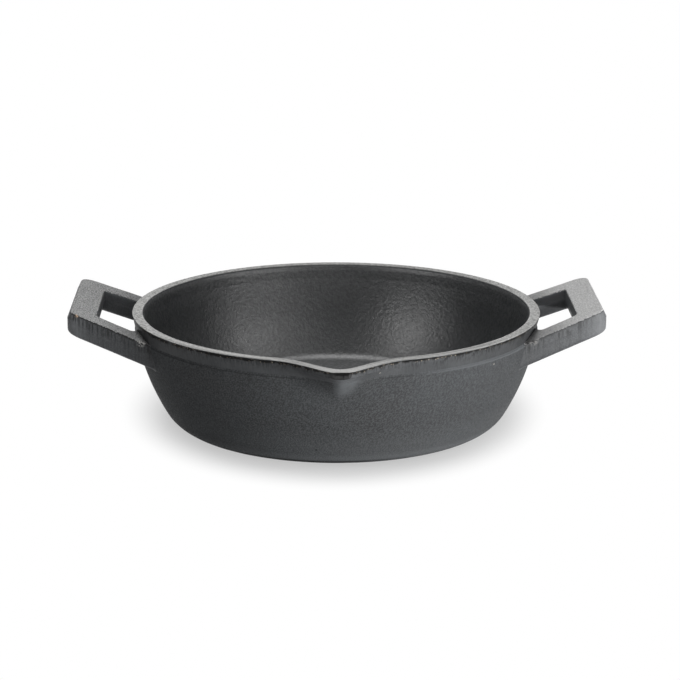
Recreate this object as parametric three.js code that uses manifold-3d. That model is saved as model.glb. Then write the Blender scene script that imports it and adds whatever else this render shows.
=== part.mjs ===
// A cast iron pan with flared sides, a pouring spout at the front and a loop handle at each end.
// Millimetres, +Z up. The front is -Y and the handles lie along X.
// The origin is the centre of the flat foot, on the surface that the pan stands on.
import * as THREE from "three";
import { mergeVertices } from "three/addons/utils/BufferGeometryUtils.js";
import Module from "manifold-3d";

const wasm = await Module();
wasm.setup();

// Driving dimensions of the bowl
const RIM_DIAMETER = 200; // outside of the rim, at its top
const PAN_HEIGHT = 56.4; // foot to rim
const FOOT_DIAMETER = 139.4; // flat resting face
const FOOT_CORNER_RADIUS = 17.2; // rounding between the foot and the wall
const WALL_BELLY_RADIUS = 113; // outward curve of the wall, seen in section
const WALL_THICKNESS = 5.2;
const FLOOR_THICKNESS = 9;
const FLOOR_FILLET_RADIUS = 6; // inside corner between the floor and the wall

// Driving dimensions of the dressed collar at the rim
const RIM_WIDTH = 5.6; // flat lip on top
const RIM_EDGE = 0.5; // broken edge on both sides of the lip
const BAND_HEIGHT = 7;
const BAND_FLARE = 1.6; // how much the collar widens from its foot to its top
const LEDGE_HEIGHT = 1; // slope between the wall and the collar
const LEDGE_STEP = 0.45; // how far the collar is ground back from the wall

// Driving dimensions of the spout
const SPOUT_REACH = 16; // ground face of the tip, beyond the rim
const SPOUT_GRIND = 0.65; // point of the casting that is ground off the tip
const SPOUT_WIDTH = 63; // where the lip leaves the round, side to side
const SPOUT_LIP = 5.9; // lip width at the tip
const SPOUT_TIP_WIDTH = 10.8; // rounded end of the V
const SPOUT_TIP_HEIGHT = 3; // ground face under the tip
const SPOUT_DEPTH = 19; // rim down to the end of the keel
const KEEL_NARROWING = 0.5; // share of its width that the keel loses on its way down
const KEEL_POWER = 1.5; // how the keel runs out into the wall
const FLANK_POWER = 2; // how the sides of the V run out into the round

// Driving dimensions of the handles
const HANDLE_REACH = 29; // outer end, beyond the rim
const HANDLE_TIP_WIDTH = 71.8; // front to back, at the outer end
const HANDLE_ROOT_WIDTH = 81.4; // front to back, where it reaches the rim
const HANDLE_RISE = 7.7; // top edge of the outer end, above the rim
const HANDLE_DROP = 3; // top of the root below the rim
const HANDLE_THICKNESS = 11.6; // upright thickness
const GRIP_WIDTH = 11.6; // top of the bar that the fingers close on
const ARM_WIDTH = 12.2; // top of the bars that run back to the wall
const PARTING_DEPTH = 4.4; // mould's parting line below the top face
const END_LEAN = 1.8; // top edge of the outer end, set in from the parting line
const GAP_DRAFT = 1.6; // widening of the finger gap from the parting line to the bottom
const TOP_EDGE = 0.5; // broken edge on top
const BOTTOM_EDGE_RADIUS = 2; // rounded edge underneath
const HANDLE_CORNER_RADIUS = 6; // outer corners, in plan
const GAP_CORNER_RADIUS = 3; // corners of the finger gap at the grip
const ROOT_FILLET_RADIUS = 7; // corners of the finger gap at the wall
const ROOT_SINK = 2; // stock that runs into the wall before it is cut back
const ROOT_CLEARANCE = 0.3; // between the handle and the wall that carries it

// Fineness of the round faces
const RING_STEPS = 72;
const SPOUT_STEPS = 24;
const WALL_ROWS = 7;
const ARC_STEPS = 6;
const CORNER_STEPS = 4;
const EDGE_STEPS = 3;

// Points of an arc in section or plan
function arcPoints(centre, radius, from, to) {
  const points = [];
  for (let step = 0; step <= ARC_STEPS; step += 1) {
    const angle = THREE.MathUtils.lerp(from, to, step / ARC_STEPS);
    points.push(new THREE.Vector2(Math.cos(angle), Math.sin(angle)).multiplyScalar(radius).add(centre));
  }
  return points;
}

// Crossing of two circles on the left of the line from the first centre to the second
function circleCrossing(first, firstRadius, second, secondRadius) {
  const line = second.clone().sub(first);
  const length = line.length();
  const along = (firstRadius ** 2 - secondRadius ** 2 + length ** 2) / (2 * length);
  const across = Math.sqrt(firstRadius ** 2 - along ** 2);
  const left = new THREE.Vector2(-line.y, line.x);
  return first.clone().addScaledVector(line, along / length).addScaledVector(left, across / length);
}

// Section of the bowl: radius against height
const rimRadius = RIM_DIAMETER / 2;
const footRadius = FOOT_DIAMETER / 2;
const bandFootHeight = PAN_HEIGHT - BAND_HEIGHT;
const bandFootRadius = rimRadius - BAND_FLARE;
const ledgeFootHeight = bandFootHeight - LEDGE_HEIGHT;
const wallTop = new THREE.Vector2(bandFootRadius + LEDGE_STEP, ledgeFootHeight);
const cornerCentre = new THREE.Vector2(footRadius, FOOT_CORNER_RADIUS);

// The wall is an arc that runs on from the foot corner without a break and ends at the ledge
const bellyCentre = circleCrossing(
  cornerCentre,
  WALL_BELLY_RADIUS - FOOT_CORNER_RADIUS,
  wallTop,
  WALL_BELLY_RADIUS,
);

// Radius of the wall's arc at a height, set in from the outside by a depth
function wallRadius(height, depth) {
  return bellyCentre.x + Math.sqrt((WALL_BELLY_RADIUS - depth) ** 2 - (height - bellyCentre.y) ** 2);
}

// Inside corner of the floor: an arc that touches the floor and the inside of the wall
const filletHeight = FLOOR_THICKNESS + FLOOR_FILLET_RADIUS;
const filletCentre = new THREE.Vector2(
  wallRadius(filletHeight, WALL_THICKNESS + FLOOR_FILLET_RADIUS),
  filletHeight,
);
const floorAngle = -Math.PI / 2;
const filletEndAngle = filletCentre.clone().sub(bellyCentre).angle() - 2 * Math.PI;
const cornerEndAngle = cornerCentre.clone().sub(bellyCentre).angle() - 2 * Math.PI;

// The base ends and the wall starts where that corner runs out into the wall
const seamHeight = filletHeight + FLOOR_FILLET_RADIUS * Math.sin(filletEndAngle);

// How far the spout stands out of the round at an angle from the front and a height
const spoutHalfAngle = Math.asin(SPOUT_WIDTH / 2 / rimRadius);
const tipShare = SPOUT_TIP_WIDTH / 2 / (spoutHalfAngle * rimRadius);

function spoutBulge(angle, height, reach, top, depth) {
  const fall = THREE.MathUtils.clamp((top - height) / depth, 0, 1);
  const halfAngle = spoutHalfAngle * (1 - KEEL_NARROWING * fall);
  const side = Math.min(1, Math.abs(angle) / halfAngle);
  const bluntSide = (Math.hypot(side, tipShare) - tipShare) / (Math.hypot(1, tipShare) - tipShare);
  return reach * (1 - bluntSide) ** FLANK_POWER * (1 - fall) ** KEEL_POWER;
}

// A point on the outside, where the tip is ground flat across the front
function outerPoint(angle, radius, height) {
  const top = PAN_HEIGHT - SPOUT_TIP_HEIGHT;
  const depth = SPOUT_DEPTH - SPOUT_TIP_HEIGHT;
  const bulge = spoutBulge(angle, height, SPOUT_REACH + SPOUT_GRIND, top, depth);
  if (bulge === 0) {
    return new THREE.Vector2(radius, height);
  }
  const groundFace = (rimRadius + SPOUT_REACH) / Math.cos(angle);
  return new THREE.Vector2(Math.min(radius + bulge, groundFace), height);
}

// A point on the inside, where the spout's channel follows the same V
function innerPoint(angle, radius, height) {
  const reach = SPOUT_REACH + RIM_WIDTH - SPOUT_LIP;
  const bulge = spoutBulge(angle, height, reach, PAN_HEIGHT, SPOUT_DEPTH - WALL_THICKNESS);
  return new THREE.Vector2(radius + bulge, height);
}

// A solid lofted through rings of points. A closed loft joins its last ring to its first.
// An open one gets a face over each end, from the outlines of its first and last ring.
function loftGeometry(rings, endOutlines) {
  const count = rings[0].length;
  const isClosed = endOutlines.length === 0;
  const faces = [];
  const spans = isClosed ? rings.length : rings.length - 1;
  for (let span = 0; span < spans; span += 1) {
    const here = span * count;
    const next = ((span + 1) % rings.length) * count;
    for (let point = 0; point < count; point += 1) {
      const following = (point + 1) % count;
      faces.push(here + point, next + point, next + following);
      faces.push(here + point, next + following, here + following);
    }
  }
  if (!isClosed) {
    const last = (rings.length - 1) * count;
    const [firstOutline, lastOutline] = endOutlines;
    for (const [a, b, c] of THREE.ShapeUtils.triangulateShape(firstOutline, [])) {
      faces.push(a, b, c);
    }
    for (const [a, b, c] of THREE.ShapeUtils.triangulateShape(lastOutline, [])) {
      faces.push(last + a, last + c, last + b);
    }
  }
  const geometry = new THREE.BufferGeometry().setFromPoints(rings.flat());
  geometry.setIndex(faces);
  return geometry;
}

// Sections of radius and height, each set at its angle round the axis, with the front at angle 0
function roundTheAxis(angles, sections) {
  return angles.map((angle, turn) => sections[turn].map(
    (point) => new THREE.Vector3(point.x * Math.sin(angle), -point.x * Math.cos(angle), point.y),
  ));
}

// Even steps between two values, both ends included
function evenSteps(from, to, steps) {
  return Array.from({ length: steps + 1 }, (_, step) => THREE.MathUtils.lerp(from, to, step / steps));
}

const spoutAngles = evenSteps(-spoutHalfAngle, spoutHalfAngle, SPOUT_STEPS);
const roundAngles = evenSteps(spoutHalfAngle, 2 * Math.PI - spoutHalfAngle, RING_STEPS);

// A profile that starts and ends on the axis, turned to stand along Z
function turnedSolid(profile) {
  return new THREE.LatheGeometry(profile, RING_STEPS).rotateX(Math.PI / 2);
}

// Base: foot, cooking floor and the rounded corner below the wall
function baseGeometry() {
  const corner = arcPoints(cornerCentre, FOOT_CORNER_RADIUS, floorAngle, cornerEndAngle);
  const fillet = arcPoints(filletCentre, FLOOR_FILLET_RADIUS, floorAngle, filletEndAngle);
  return turnedSolid([
    new THREE.Vector2(0, 0),
    ...corner,
    new THREE.Vector2(wallRadius(seamHeight, 0), seamHeight),
    ...fillet.reverse(),
    new THREE.Vector2(0, FLOOR_THICKNESS),
  ]);
}

// Side wall, with the keel of the spout pressed out of it at the front
function wallGeometry() {
  const outerHeights = evenSteps(seamHeight, ledgeFootHeight, WALL_ROWS);
  const innerHeights = evenSteps(bandFootHeight, seamHeight, WALL_ROWS);
  const sectionAt = (angle) => [
    ...outerHeights.map((height) => outerPoint(angle, wallRadius(height, 0), height)),
    outerPoint(angle, bandFootRadius, bandFootHeight),
    ...innerHeights.map((height) => innerPoint(angle, wallRadius(height, WALL_THICKNESS), height)),
  ];
  const angles = [...spoutAngles, ...roundAngles.slice(1, -1)];
  return loftGeometry(roundTheAxis(angles, angles.map(sectionAt)), []);
}

// Section of the collar and of the spout's lip, which stand on the wall's top face
function lipSection(angle) {
  const tipFootHeight = PAN_HEIGHT - SPOUT_TIP_HEIGHT;
  const edgeHeight = PAN_HEIGHT - RIM_EDGE;
  const tipFootRadius = rimRadius - BAND_FLARE * (SPOUT_TIP_HEIGHT / BAND_HEIGHT);
  const lipRadius = rimRadius - RIM_WIDTH;
  const innerFootRadius = wallRadius(bandFootHeight, WALL_THICKNESS);
  const innerTipRadius = THREE.MathUtils.lerp(lipRadius, innerFootRadius, SPOUT_TIP_HEIGHT / BAND_HEIGHT);
  return [
    outerPoint(angle, bandFootRadius, bandFootHeight),
    outerPoint(angle, tipFootRadius, tipFootHeight),
    outerPoint(angle, rimRadius, edgeHeight),
    outerPoint(angle, rimRadius - RIM_EDGE, PAN_HEIGHT),
    innerPoint(angle, lipRadius + RIM_EDGE, PAN_HEIGHT),
    innerPoint(angle, lipRadius, edgeHeight),
    innerPoint(angle, innerTipRadius, tipFootHeight),
    innerPoint(angle, innerFootRadius, bandFootHeight),
  ];
}

// A stretch of the collar or of the spout's lip
function lipGeometry(angles) {
  const sections = angles.map(lipSection);
  return loftGeometry(roundTheAxis(angles, sections), [sections[0], sections.at(-1)]);
}

// Plan of an outline whose corners are rounded by curves
function roundedOutline(corners) {
  return corners.flatMap(({ point, radius }, index) => {
    if (radius === 0) {
      return [point];
    }
    const before = corners.at(index - 1).point.clone().sub(point).normalize();
    const after = corners[(index + 1) % corners.length].point.clone().sub(point).normalize();
    const setback = radius / Math.tan(Math.acos(before.dot(after)) / 2);
    const start = point.clone().addScaledVector(before, setback);
    const end = point.clone().addScaledVector(after, setback);
    return new THREE.QuadraticBezierCurve(start, point, end).getPoints(CORNER_STEPS);
  });
}

// The right handle's faces
const handleTip = rimRadius + HANDLE_REACH;
const topEdgeX = handleTip - END_LEAN;
const rootTopHeight = PAN_HEIGHT - HANDLE_DROP;
const sideSlope = (HANDLE_ROOT_WIDTH - HANDLE_TIP_WIDTH) / 2 / HANDLE_REACH;
const topSlope = (HANDLE_DROP + HANDLE_RISE) / (topEdgeX - rimRadius);
const rootRadius = wallRadius(rootTopHeight - HANDLE_THICKNESS, ROOT_SINK);

function handleHalfWidth(x) {
  return HANDLE_TIP_WIDTH / 2 + sideSlope * (handleTip - x);
}

function handleTopHeight(x) {
  return rootTopHeight + topSlope * (x - rimRadius);
}

// Plan of the handle at one level: lean sets the end face in, edge sets every face in, gap widens the gap
function handleOutline({ lean, edge, gap }) {
  const tip = handleTip - lean - edge;
  const gripInside = topEdgeX - GRIP_WIDTH + gap + edge;
  const outerHalf = (x) => handleHalfWidth(x) - edge;
  const innerHalf = (x) => handleHalfWidth(x) - ARM_WIDTH + gap + edge;
  const rootX = Math.sqrt(rootRadius ** 2 - handleHalfWidth(rimRadius) ** 2) - ROOT_SINK;

  // Where the inside of the arm meets a circle just under the wall's face, and on along that circle
  const axisHalf = innerHalf(0);
  const squares = 1 + sideSlope ** 2;
  const product = axisHalf * sideSlope;
  const meetX = (product + Math.sqrt(product ** 2 - squares * (axisHalf ** 2 - rootRadius ** 2))) / squares;
  const meet = new THREE.Vector2(meetX, innerHalf(meetX));
  const runOutHalf = meet.y - 2 * ROOT_FILLET_RADIUS;
  const runOut = new THREE.Vector2(Math.sqrt(rootRadius ** 2 - runOutHalf ** 2), runOutHalf);

  const backHalf = [
    { point: new THREE.Vector2(tip, outerHalf(tip)), radius: HANDLE_CORNER_RADIUS },
    { point: new THREE.Vector2(rootX, outerHalf(rootX)), radius: 0 },
    { point: new THREE.Vector2(rootX, runOut.y), radius: 0 },
    { point: runOut, radius: 0 },
    { point: meet, radius: ROOT_FILLET_RADIUS },
    { point: new THREE.Vector2(gripInside, innerHalf(gripInside)), radius: GAP_CORNER_RADIUS },
  ];
  const mirrored = ({ point, radius }) => ({ point: new THREE.Vector2(point.x, -point.y), radius });
  return roundedOutline([...backHalf, ...backHalf.map(mirrored).reverse()]);
}

// Levels of the handle from its top face down
function handleLevels() {
  const leanAt = (depth) => END_LEAN * Math.max(0, 1 - depth / PARTING_DEPTH);
  const draftHeight = HANDLE_THICKNESS - PARTING_DEPTH;
  const gapAt = (depth) => GAP_DRAFT * Math.max(0, (depth - PARTING_DEPTH) / draftHeight);
  const level = (depth, edge) => ({ depth, edge, lean: leanAt(depth), gap: gapAt(depth) });
  const roundedEdge = evenSteps(0, Math.PI / 2, EDGE_STEPS).map((turn) => level(
    HANDLE_THICKNESS - BOTTOM_EDGE_RADIUS * (1 - Math.sin(turn)),
    BOTTOM_EDGE_RADIUS * (1 - Math.cos(turn)),
  ));
  return [level(0, TOP_EDGE), level(TOP_EDGE, 0), level(PARTING_DEPTH, 0), ...roundedEdge];
}

// Booleans: a geometry to a solid and back
function toSolid(geometry) {
  const bare = geometry.clone();
  bare.deleteAttribute("normal");
  bare.deleteAttribute("uv");
  const merged = mergeVertices(bare);
  return new wasm.Manifold(new wasm.Mesh({
    numProp: 3,
    vertProperties: new Float32Array(merged.attributes.position.array),
    triVerts: new Uint32Array(merged.index.array),
  }));
}

function toGeometry(solid) {
  const mesh = solid.getMesh();
  const geometry = new THREE.BufferGeometry();
  geometry.setAttribute("position", new THREE.BufferAttribute(mesh.vertProperties, 3));
  geometry.setIndex(new THREE.BufferAttribute(mesh.triVerts, 1));
  return geometry;
}

// The bowl's outside with the clearance added, which cuts the handle's roots to fit the wall
function rootCutter() {
  const wall = evenSteps(seamHeight, ledgeFootHeight, WALL_ROWS)
    .map((height) => new THREE.Vector2(wallRadius(height, 0) + ROOT_CLEARANCE, height));
  return turnedSolid([
    new THREE.Vector2(0, seamHeight),
    ...wall,
    new THREE.Vector2(bandFootRadius + ROOT_CLEARANCE, bandFootHeight),
    new THREE.Vector2(rimRadius + ROOT_CLEARANCE, PAN_HEIGHT),
    new THREE.Vector2(0, PAN_HEIGHT),
  ]);
}

// Right handle: a flat loop that climbs outwards, cut to the wall at its roots
function handleGeometry() {
  const levels = handleLevels();
  const outlines = levels.map(handleOutline);
  const rings = levels.map(({ depth }, index) => outlines[index].map(
    (point) => new THREE.Vector3(point.x, point.y, handleTopHeight(point.x) - depth),
  ));
  const loop = loftGeometry(rings, [outlines[0], outlines.at(-1)]);
  return toGeometry(toSolid(loop).subtract(toSolid(rootCutter())));
}

// Materials: iron as it left the sand, and iron ground bright at the rim, both dark and satin
const sandCastIron = { color: 0x3d3f41, roughness: 0.72, metalness: 0.35 };
const dressedIron = { color: 0x8c8c89, roughness: 0.55, metalness: 0.45 };

function castSection(name, geometry, finish) {
  const mesh = new THREE.Mesh(geometry, new THREE.MeshStandardMaterial(finish));
  mesh.name = name;
  return mesh;
}

const pan = new THREE.Group();
pan.add(castSection("pan_base", baseGeometry(), sandCastIron));
pan.add(castSection("side_wall", wallGeometry(), sandCastIron));
pan.add(castSection("rim_band", lipGeometry(roundAngles), dressedIron));
pan.add(castSection("pouring_spout", lipGeometry(spoutAngles), dressedIron));

const loopHandle = handleGeometry();
const rightHandle = castSection("right_handle", loopHandle, sandCastIron);
const leftHandle = castSection("left_handle", loopHandle, sandCastIron);
leftHandle.rotation.z = Math.PI;
pan.add(rightHandle, leftHandle);

export default pan;
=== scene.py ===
from math import asin, atan2, cos, pi, radians, sin, sqrt, tau

import bmesh
import bpy
import numpy as np
from mathutils import Matrix, Vector, noise


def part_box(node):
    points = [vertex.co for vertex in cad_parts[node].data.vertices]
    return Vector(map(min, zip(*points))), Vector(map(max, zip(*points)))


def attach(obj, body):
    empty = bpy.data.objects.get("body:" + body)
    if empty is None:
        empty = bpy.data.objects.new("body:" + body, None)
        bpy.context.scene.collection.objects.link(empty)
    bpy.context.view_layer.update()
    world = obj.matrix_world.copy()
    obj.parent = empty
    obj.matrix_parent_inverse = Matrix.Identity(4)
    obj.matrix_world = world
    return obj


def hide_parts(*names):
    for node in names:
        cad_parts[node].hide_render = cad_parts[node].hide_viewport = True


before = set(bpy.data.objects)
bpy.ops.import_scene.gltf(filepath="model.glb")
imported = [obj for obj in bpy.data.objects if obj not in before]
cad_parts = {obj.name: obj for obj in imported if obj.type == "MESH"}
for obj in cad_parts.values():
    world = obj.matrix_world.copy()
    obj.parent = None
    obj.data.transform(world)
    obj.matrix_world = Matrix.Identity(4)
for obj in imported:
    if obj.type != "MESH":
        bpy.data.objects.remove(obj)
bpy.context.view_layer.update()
scene = bpy.context.scene
scene.view_settings.view_transform = "Standard"

# Camera
# A long lens a little over a metre away, so that near and far sides keep almost the same scale.
# It stands fifteen degrees above the floor and almost square to the spout.
look_at = Vector((0.00189, 0, 0.04029))
camera_distance = 1.18375
camera_rise = 14.99
camera_swing = -1.13
camera_roll = radians(0.11)


# A direction from the pan, by degrees round it from the front and degrees above the floor
def direction(swing, rise):
    swing = radians(swing)
    rise = radians(rise)
    return Vector((sin(swing) * cos(rise), -cos(swing) * cos(rise), sin(rise)))


away = direction(camera_swing, camera_rise)
lens = bpy.data.cameras.new("photo_lens")
lens.lens = 127
lens.sensor_width = 36
camera = bpy.data.objects.new("photo_camera", lens)
camera.location = look_at + away * camera_distance
turn = away.to_track_quat("Z", "Y").to_matrix() @ Matrix.Rotation(camera_roll, 3, "Z")
camera.rotation_euler = turn.to_euler()
scene.collection.objects.link(camera)
scene.camera = camera

# Pan base
# The thick bottom of the casting: a flat foot, a rounded outer corner and a level cooking floor.
# It is grey iron, poured in green sand in one piece with the wall and then seasoned black.
rim_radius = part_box("rim_band")[1].x
rim_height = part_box("rim_band")[1].z
foot_radius = 0.0697
foot_corner = 0.0172
wall_belly = 0.113
wall_thickness = 0.0052
floor_thickness = 0.009
floor_fillet = 0.006
band_height = 0.007
band_flare = 0.0016
ledge_height = 0.001
ledge_step = 0.00045
grain_depth = 0.0002
band_foot = rim_height - band_height
wall_top = np.array([rim_radius - band_flare + ledge_step, band_foot - ledge_height])
corner_centre = np.array([foot_radius, foot_corner])

# The wall's arc touches the foot corner and ends at the ledge under the band
chord = wall_top - corner_centre
chord_length = np.hypot(*chord)
along_chord = ((wall_belly - foot_corner) ** 2 - wall_belly**2 + chord_length**2) / (2 * chord_length)
off_chord = sqrt((wall_belly - foot_corner) ** 2 - along_chord**2)
beside_chord = np.array([-chord[1], chord[0]])
belly_centre = corner_centre + (chord * along_chord + beside_chord * off_chord) / chord_length


# Radius of the wall's outside at a height, or of a layer that lies deeper in it
def wall_radius(height, depth=0.0):
    return belly_centre[0] + np.sqrt((wall_belly - depth) ** 2 - (height - belly_centre[1]) ** 2)


fillet_height = floor_thickness + floor_fillet
fillet_centre = np.array([wall_radius(fillet_height, wall_thickness + floor_fillet), fillet_height])
fillet_end = atan2(*(fillet_centre - belly_centre)[::-1])
corner_end = atan2(*(corner_centre - belly_centre)[::-1])
seam_height = fillet_height + floor_fillet * sin(fillet_end)

# Turns round the axis from the front, closer together over the spout
spout_width = 0.063
spout_half_turn = asin(spout_width / 2 / rim_radius)
spout_turns = np.linspace(-spout_half_turn, spout_half_turn, 113)
round_turns = np.linspace(spout_half_turn, tau - spout_half_turn, 401)
all_turns = np.concatenate([spout_turns, round_turns[1:-1]])


# Points at the given turns, radii and heights
def round_the_axis(turns, radius, height):
    radius = np.broadcast_to(radius, turns.shape)
    height = np.broadcast_to(height, turns.shape)
    return np.stack([radius * np.sin(turns), -radius * np.cos(turns), height], axis=-1)


# Unevenness that the sand leaves in the casting's surface
def sand_swell(points):
    swells = []
    for point in np.asarray(points).reshape(-1, 3):
        place = Vector(point)
        swells.append(0.00003 * noise.noise(place * 150) + 0.000016 * noise.noise(place * 420))
    return np.array(swells).reshape(np.asarray(points).shape[:-1])


# A ring of the casting, moved along its own lean by the sand's unevenness
def cast_ring(turns, radius, height, lean):
    smooth = round_the_axis(turns, radius, height)
    swell = sand_swell(smooth)
    return round_the_axis(turns, radius + swell * cos(lean), height + swell * sin(lean))


# Closes rings of points into one skin: capped at both ends, or joined into a loop
def cast_skin(name, rings, is_closed=False):
    rings = np.asarray(rings)
    index = np.arange(rings.shape[0] * rings.shape[1]).reshape(rings.shape[:2])
    loops = np.vstack([index, index[:1]]) if is_closed else index
    beside = np.roll(loops, -1, axis=1)
    faces = np.stack([loops[:-1], beside[:-1], beside[1:], loops[1:]], axis=-1).reshape(-1, 4).tolist()
    if not is_closed:
        faces += [index[0].tolist(), index[-1].tolist()]
    mesh = bpy.data.meshes.new(name)
    mesh.from_pydata(rings.reshape(-1, 3).tolist(), [], faces)
    skin = bmesh.new()
    skin.from_mesh(mesh)
    bmesh.ops.recalc_face_normals(skin, faces=skin.faces)
    skin.to_mesh(mesh)
    skin.free()
    mesh.shade_smooth()
    mesh.set_sharp_from_angle(angle=radians(40))
    piece = bpy.data.objects.new(name, mesh)
    scene.collection.objects.link(piece)
    return piece


# Marks the faces of the cooking side, which take the piece's second material
def line_inside(piece, is_inside):
    numbers = np.zeros(len(piece.data.polygons), dtype=np.int32)
    numbers[: is_inside.size] = is_inside.reshape(-1)
    piece.data.polygons.foreach_set("material_index", numbers)


axis_gap = 0.001
base_rings = []
for radius in np.linspace(axis_gap, foot_radius, 26):
    base_rings.append(cast_ring(all_turns, radius, 0.0, 0.0))
for angle in np.linspace(-pi / 2, corner_end, 20)[1:]:
    edge = corner_centre + foot_corner * np.array([cos(angle), sin(angle)])
    base_rings.append(cast_ring(all_turns, edge[0], edge[1], angle))
for height in np.linspace(base_rings[-1][0][2], seam_height, 5)[1:]:
    base_rings.append(cast_ring(all_turns, wall_radius(height), height, 0.0))
rings_outside = len(base_rings)
for angle in np.linspace(fillet_end, -pi / 2, 12):
    edge = fillet_centre + floor_fillet * np.array([cos(angle), sin(angle)])
    base_rings.append(cast_ring(all_turns, edge[0], edge[1], angle))
for radius in np.linspace(fillet_centre[0], axis_gap, 54)[1:]:
    base_rings.append(cast_ring(all_turns, radius, floor_thickness, pi / 2))
pan_base = cast_skin("pan_base_casting", base_rings)
ring_steps = np.repeat(np.arange(len(base_rings) - 1), len(all_turns))
line_inside(pan_base, ring_steps >= rings_outside)
pan_base.data.polygons[-1].material_index = 1


# An empty node group with named sockets, ready to be filled
def new_group(name, inputs, outputs):
    group = bpy.data.node_groups.new(name, "ShaderNodeTree")
    for label, kind, value in inputs:
        socket = group.interface.new_socket(label, in_out="INPUT", socket_type=kind)
        socket.default_value = value
    for label, kind in outputs:
        group.interface.new_socket(label, in_out="OUTPUT", socket_type=kind)
    return group, group.nodes.new("NodeGroupInput"), group.nodes.new("NodeGroupOutput")


# A new node: each value or link goes to the input of that name, or of that number after an i
def add(tree, kind, settings=None, **links):
    node = tree.nodes.new(kind)
    for name, value in (settings or {}).items():
        setattr(node, name, value)
    for label, value in links.items():
        name = label.replace("_", " ")
        socket = node.inputs[int(name[1:])] if name[0] == "i" and name[1:].isdigit() else node.inputs[name]
        if isinstance(value, bpy.types.NodeSocket):
            tree.links.new(value, socket)
        else:
            socket.default_value = value
    return node


def sums(tree, operation, first, second=0.0, clamp=False):
    settings = {"operation": operation, "use_clamp": clamp}
    return add(tree, "ShaderNodeMath", settings, i0=first, i1=second).outputs[0]


# Masks and values multiplied with each other
def times(tree, first, *others):
    for other in others:
        first = sums(tree, "MULTIPLY", first, other)
    return first


def vectors(tree, operation, first, second):
    node = add(tree, "ShaderNodeVectorMath", {"operation": operation}, i0=first, i1=second)
    return node.outputs["Value" if operation in ("DISTANCE", "DOT_PRODUCT") else "Vector"]


# A soft step between two values, which may also fall
def ramp(tree, value, low, high, to_low=0.0, to_high=1.0):
    node = add(tree, "ShaderNodeMapRange", {"interpolation_type": "SMOOTHSTEP"}, Value=value)
    for label, limit in (("From Min", low), ("From Max", high), ("To Min", to_low), ("To Max", to_high)):
        node.inputs[label].default_value = limit
    return node.outputs["Result"]


def clouds(tree, spot, scale, detail, roughness=0.5):
    node = add(tree, "ShaderNodeTexNoise", Vector=spot, Scale=scale, Detail=detail, Roughness=roughness)
    return node.outputs[0]


def blend_values(tree, share, first, second):
    return add(tree, "ShaderNodeMix", {"data_type": "FLOAT"}, i0=share, i2=first, i3=second).outputs[0]


def blend_colours(tree, share, first, second):
    return add(tree, "ShaderNodeMix", {"data_type": "RGBA"}, i0=share, i6=first, i7=second).outputs[2]


def place_on_pan(tree):
    return add(tree, "ShaderNodeTexCoord").outputs["Object"]


def split(tree, vector):
    return add(tree, "ShaderNodeSeparateXYZ", Vector=vector).outputs


def use_group(tree, group, **inputs):
    return add(tree, "ShaderNodeGroup", {"node_tree": group}, **inputs).outputs


# Grain left by the moulding sand: fine grains, the lumps they sit in, and a few pinholes
sand_grain, given, result = new_group(
    "sand_grain",
    [
        ("Grains per metre", "NodeSocketFloat", 900.0),
        ("Lumps", "NodeSocketFloat", 0.5),
        ("Slant", "NodeSocketFloat", 0.0),
    ],
    [("Height", "NodeSocketFloat"), ("Speckle", "NodeSocketFloat"), ("Pinholes", "NodeSocketFloat")],
)
spot = place_on_pan(sand_grain)
slope = (0.77, 0.0, 0.64)
up_slope = vectors(sand_grain, "DOT_PRODUCT", spot, slope)
drawn_out = times(sand_grain, up_slope, given.outputs["Slant"])
shift = add(sand_grain, "ShaderNodeVectorMath", {"operation": "SCALE"}, i0=slope, Scale=drawn_out).outputs[0]
slanted = vectors(sand_grain, "SUBTRACT", spot, shift)
grains = clouds(sand_grain, slanted, given.outputs["Grains per metre"], 2.0, 0.55)
lump_scale = times(sand_grain, given.outputs["Grains per metre"], 0.45)
lumps = clouds(sand_grain, slanted, lump_scale, 1.0)
lump_height = times(sand_grain, lumps, given.outputs["Lumps"])
holes = add(sand_grain, "ShaderNodeTexVoronoi", Vector=spot, Scale=75.0)
is_hole = ramp(sand_grain, holes.outputs["Distance"], 0.055, 0.025)
hole_pick = add(sand_grain, "ShaderNodeSeparateColor", Color=holes.outputs["Color"])
is_picked = ramp(sand_grain, hole_pick.outputs[0], 0.86, 0.88)
pinholes = times(sand_grain, is_hole, is_picked)
raised = sums(sand_grain, "ADD", grains, lump_height)
sand_grain.links.new(sums(sand_grain, "SUBTRACT", raised, pinholes), result.inputs["Height"])
sand_grain.links.new(ramp(sand_grain, grains, 0.36, 0.66), result.inputs["Speckle"])
sand_grain.links.new(pinholes, result.inputs["Pinholes"])

# Baked oil: thin and thick patches of the black seasoning
season_film, given, result = new_group(
    "season_film",
    [("Patch size", "NodeSocketFloat", 28.0)],
    [("Thickness", "NodeSocketFloat")],
)
patches = clouds(season_film, place_on_pan(season_film), given.outputs["Patch size"], 5.0, 0.62)
season_film.links.new(ramp(season_film, patches, 0.3, 0.7), result.inputs["Thickness"])

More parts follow.
